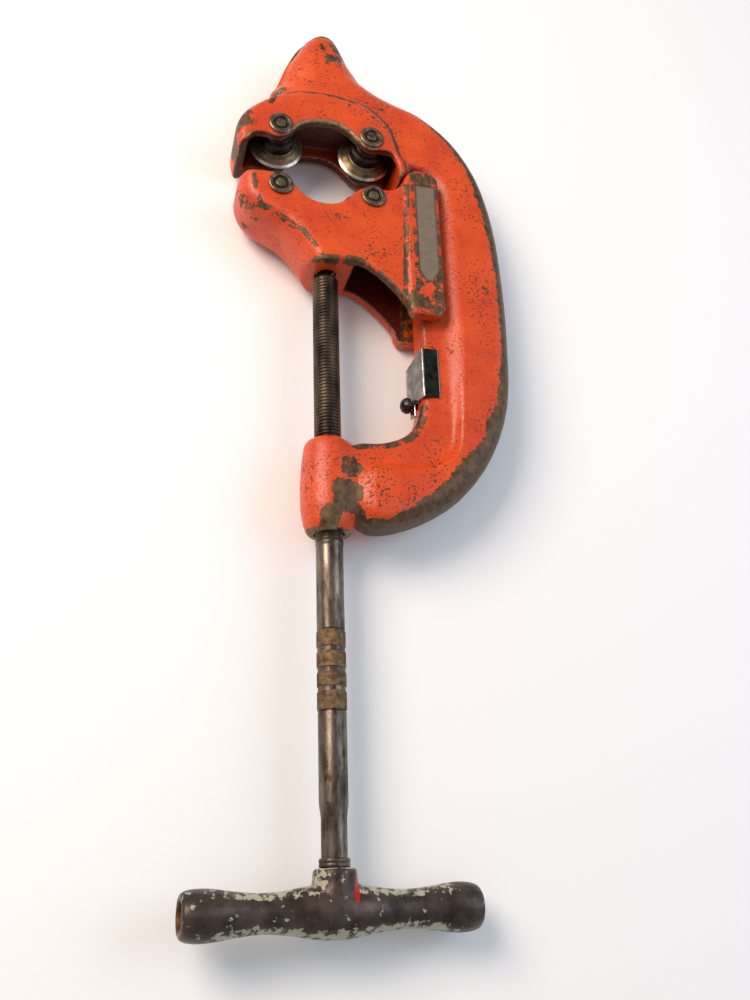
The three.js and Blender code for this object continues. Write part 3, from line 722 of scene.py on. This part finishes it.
def feed_screw():
    """Button, neck, thread, shank and tapered end as one surface round the screw's axis."""
    shank = SHANK_RADIUS
    lower = np.array([[0, -401.2], [7.6, -401.2], [8.0, -400.8], [8.0, -346], [shank, -338],
                      [shank, -283.2], [8.6, -282.6], [8.6, -230.9], [shank, -230.3], [shank, -174],
                      [9.4, -172.6]])
    upper = np.array([[9.4, 33.3], [8.6, 35.4], [4.4, 36.0], [4.2, 36.6], [4.2, 45.4], [4.5, 46],
                      [7.0, 46.1], [7.2, 46.6], [7.2, 50.5], [6.4, 52.2], [4.4, 53], [0, 53]])
    lower, upper = rounded(lower, 0.5), rounded(upper, 0.35)
    thread_y = np.arange(THREAD_END, THREAD_TOP - 0.1, THREAD_PITCH / 9)
    sides = 64
    angle = np.arange(sides) / sides * 2 * np.pi
    radius = np.concatenate([np.repeat(lower[:, :1], sides, 1),
                             thread_radius(thread_y[:, None], angle[None, :]),
                             np.repeat(upper[:, :1], sides, 1)])
    y = np.concatenate([lower[:, 1], thread_y, upper[:, 1]])
    points = carried_round(radius, y[:, None], np.broadcast_to(angle, radius.shape))
    piece = place("feed_screw_turned", points, grid_faces(len(y), sides), THREAD,
                  "screw_body", ["feed_screw"])
    piece.data.materials.append(SHANK)
    plain = part_mm(middles_of(piece.data))[:, 1] < THREAD_END
    piece.data.polygons.foreach_set("material_index", plain.astype(np.int32))


def knurled_band():
    """A sleeve of diamond teeth: two opposite families of helical waves multiplied together, cut by
    three plain turned grooves, with its two ends closed down to the shank."""
    sides, rise = 6 * KNURL_TEETH, 0.3
    y = np.arange(KNURL_END, KNURL_TOP + rise / 2, rise)[:, None]
    angle = (np.arange(sides) / sides * 2 * np.pi)[None, :]
    turn = y / KNURL_HELIX
    teeth = np.cos(KNURL_TEETH / 2 * (angle + turn)) * np.cos(KNURL_TEETH / 2 * (angle - turn))
    plain = np.max([1 - ramp(np.abs(y - groove), 1.4, 1.9) for groove in KNURL_GROOVES], axis=0)
    ends = ramp(y, KNURL_END, KNURL_END + 0.8) * (1 - ramp(y, KNURL_TOP - 0.8, KNURL_TOP))
    radius = 9.15 + 0.42 * np.abs(teeth) * (1 - plain) * ends - 0.2 * plain
    bore = np.full((1, sides), 8.3)
    radius = np.concatenate([bore, radius, bore])
    y = np.concatenate([y[:1], y, y[-1:]])
    # The last ring repeats the first one, so that the sleeve has an inner wall
    radius = np.concatenate([radius, radius[:1]])
    y = np.concatenate([y, y[:1]])
    points = carried_round(radius, y, np.broadcast_to(angle, radius.shape))
    band = place("feed_screw_knurl", points, grid_faces(len(y), sides), KNURL, "screw_body")
    band.data.materials.append(SHANK)
    heights = part_mm(middles_of(band.data))[:, 1]
    groove = np.min([np.abs(heights - g) for g in KNURL_GROOVES], axis=0) < 1.6
    band.data.polygons.foreach_set("material_index", groove.astype(np.int32))


RED_RUN = [[12.0, -377], [11.4, -383], [10.8, -389], [10.2, -393]]


def along_bar(points):
    """The height of each point above the turned bar's middle line, square to it."""
    return points[:, 2] * math.cos(HANDLE_TURN) + points[:, 0] * math.sin(HANDLE_TURN)


def handle_parts():
    """The cast T-handle and the collar above its socket."""
    piece = evenly_meshed("t_handle", 0.9, "t_handle_casting")
    soften(piece.data, 1.0, 5)
    points, normals = part_mm(points_of(piece.data)), normals_of(piece.data)
    x, y, z = points.T
    side = np.abs(normals[:, 1]) * (normals[:, 2] > -0.75)
    middle_span = 1 - ramp(np.abs(x), 62, 84)
    paint = 0.12 + 0.5 * ramp(side, 0.45, 0.8) * middle_span
    paint = np.maximum(paint, 0.62 * near_point(points, (-13, -384, 6), 14))
    set_attribute(piece.data, "paint", paint)
    set_attribute(piece.data, "red_run", near_line(points, RED_RUN, [1.0, 1.5, 2.6, 2.0]) * ramp(z, -4, 2))
    dress(piece, HANDLE, "screw_body", ["t_handle"])
    piece.data.materials.append(BORE_RUST)
    middles = part_mm(middles_of(piece.data))
    bore = (np.abs(middles[:, 0]) > 57) & (np.hypot(middles[:, 1] - HANDLE_Y, along_bar(middles)) < 8.7)
    piece.data.polygons.foreach_set("material_index", bore.astype(np.int32))
    profile = rounded([[8.25, -369.4], [9.0, -369.4], [9.55, -370], [9.65, -371.4], [9.3, -372.2],
                       [9.6, -373], [9.6, -374.3], [9.2, -374.65], [8.25, -374.65], [8.25, -369.4]], 0.3)
    place("handle_collar_ring", turned(profile, 80), grid_faces(len(profile), 80), SHANK,
          "screw_body", ["handle_collar"])


def clip_parts():
    """The bent sheet clip."""
    piece = evenly_meshed("rail_clip", 0.42, "rail_clip_sheet")
    soften(piece.data, 1.0, 2)
    dress(piece, PLATE, "frame_body", ["rail_clip"])
    piece.data.materials.append(DARK_PLATE)
    middles = part_mm(middles_of(piece.data))
    front = (middles[:, 2] > 13.4) & (middles[:, 0] > 68.6) & (middles[:, 0] < 79.2)
    piece.data.polygons.foreach_set("material_index", front.astype(np.int32))


def repaint(node, material):
    """A CAD node that keeps its own shape gets its material."""
    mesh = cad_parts[node].data
    mesh.materials.clear()
    mesh.materials.append(material)


cast_frame()
cast_housing()
wheels()
wheel_pins()
feed_screw()
knurled_band()
handle_parts()
clip_parts()
for node, material in (("thrust_disc", PIN), ("screw_pin_left", PIN), ("screw_pin_right", PIN),
                       ("handle_pin", HANDLE_IRON), ("clip_screw", BLACK_SCREW)):
    repaint(node, material)


# Floor, light and camera


def floor():
    """A pale floor that fills the view."""
    reach = 2.5
    mesh = bpy.data.meshes.new("floor")
    square = [(-reach, -reach), (reach, -reach), (reach, reach), (-reach, reach)]
    mesh.from_pydata([(x, y, FLOOR_Z - 0.0004) for x, y in square], [], [(0, 1, 2, 3)])
    material, tree, spot = blank("painted_board_fine_texture")
    texture = add(tree, "TexNoise", {"Vector": spot, "Scale": per_metre(2.5), "Detail": 4})
    relief = add(tree, "Bump", {"Height": texture, "Distance": 0.3 * MM, "Strength": 0.35})
    shader = add(tree, "BsdfPrincipled", {"Base Color": linear("#F4F2F0"), "Roughness": 0.6,
                                          "Normal": relief})
    add(tree, "OutputMaterial", {"Surface": shader})
    mesh.materials.append(material)
    board = bpy.data.objects.new("floor", mesh)
    bpy.context.scene.collection.objects.link(board)


def area_light(name, position, target, size, watts, colour):
    """A soft square lamp at a position in metres, facing its target."""
    lamp = bpy.data.lights.new(name, "AREA")
    lamp.size = size
    lamp.energy = watts
    lamp.color = linear(colour)[:3]
    holder = bpy.data.objects.new(name, lamp)
    holder.location = position
    holder.rotation_euler = (Vector(target) - Vector(position)).to_track_quat("-Z", "Y").to_euler()
    bpy.context.scene.collection.objects.link(holder)


def lights():
    """A big warm softbox on the upper left, a cooler one on the right, and an even pale surround."""
    area_light("key_softbox", (-1.0, 0.6, 1.15), (0, 0, 0), 0.9, 27, "#FFEFE0")
    area_light("fill_softbox", (1.3, 0.1, 1.2), (0, 0, 0), 1.2, 11, "#CFE2FF")
    world = bpy.data.worlds.new("pale_surround")
    world.use_nodes = True
    background = world.node_tree.nodes["Background"]
    background.inputs["Color"].default_value = linear("#EDF0F4")
    background.inputs["Strength"].default_value = 0.5
    bpy.context.scene.world = world


def camera():
    """A close view from the front, a little below and to the left of the middle, and tilted."""
    lens = bpy.data.cameras.new("camera")
    lens.lens = 36.75
    lens.sensor_width = 36.0
    lens.clip_start = 0.05
    lens.clip_end = 20
    right = Vector((0.96717, -0.03181, 0.25212)).normalized()
    back = Vector((-0.24587, -0.36780, 0.89681)).normalized()
    up = back.cross(right).normalized()
    right = up.cross(back)
    turn = Matrix((right, up, back)).transposed().to_4x4()
    holder = bpy.data.objects.new("camera", lens)
    holder.matrix_world = Matrix.Translation((-0.16253, -0.31865, 0.65717)) @ turn
    bpy.context.scene.collection.objects.link(holder)
    bpy.context.scene.camera = holder


floor()
lights()
camera()
bpy.context.scene.view_settings.view_transform = "Standard"
